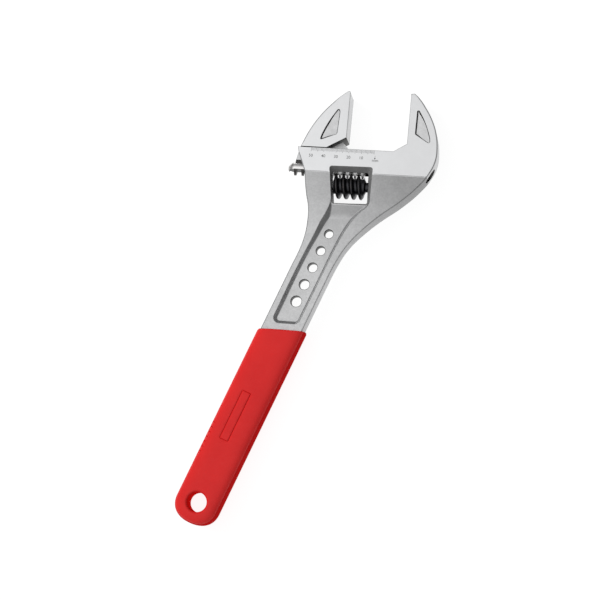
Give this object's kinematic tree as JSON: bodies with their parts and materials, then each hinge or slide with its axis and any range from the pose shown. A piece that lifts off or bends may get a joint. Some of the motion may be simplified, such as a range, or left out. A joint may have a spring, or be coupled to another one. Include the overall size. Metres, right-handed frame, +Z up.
{
  "type": "adjustable wrench",
  "caption": "Adjustable wrench lying flat: forged head and handle, movable jaw on a rack driven by a knurled worm, red sleeve grip with a hanging hole.",
  "frame": {"origin": "centre of the bounding box's underside, with the wrench lying flat", "axes": "+Y toward the jaw tips, +X along the jaw slide in the closing direction, +Z up through the thickness; the handle runs toward -Y and -X at 20.5 degrees"},
  "size_m": [0.1797, 0.3504, 0.021],
  "materials": {
    "satin_steel": "bright satin plate on the head faces, blasted matt gray below them and on the handle",
    "jaw_steel": "bright satin plate on the cheeks, blasted recess, darker bare rack",
    "black_oxide": "black oxide, slightly oily gloss",
    "plain_steel": "plain bright steel",
    "red_sleeve": "soft satin vinyl, fine grain"
  },
  "bodies": {
    "handle_and_fixed_jaw": {"wrench_body": "satin_steel", "worm_pin": "plain_steel", "worm_spring": "plain_steel", "grip_sleeve": "red_sleeve"},
    "sliding_jaw": {"movable_jaw": "jaw_steel"},
    "worm": {"adjusting_worm": "black_oxide"}
  },
  "joints": [
    {"name": "jaw_slide", "type": "slide", "parent": "handle_and_fixed_jaw", "child": "sliding_jaw", "axis": [1, 0, 0], "range_m": [-0.002, 0.0479]},
    {"name": "worm_spin", "type": "hinge", "parent": "handle_and_fixed_jaw", "child": "worm", "pos_m": [0.02336, 0.09943, 0.0105], "axis": [1, 0, 0], "range_deg": [-2880, 126]}
  ],
  "couplings": [
    {"joint": "worm_spin", "follows": "jaw_slide", "rad_per_m": -1047.2}
  ]
}
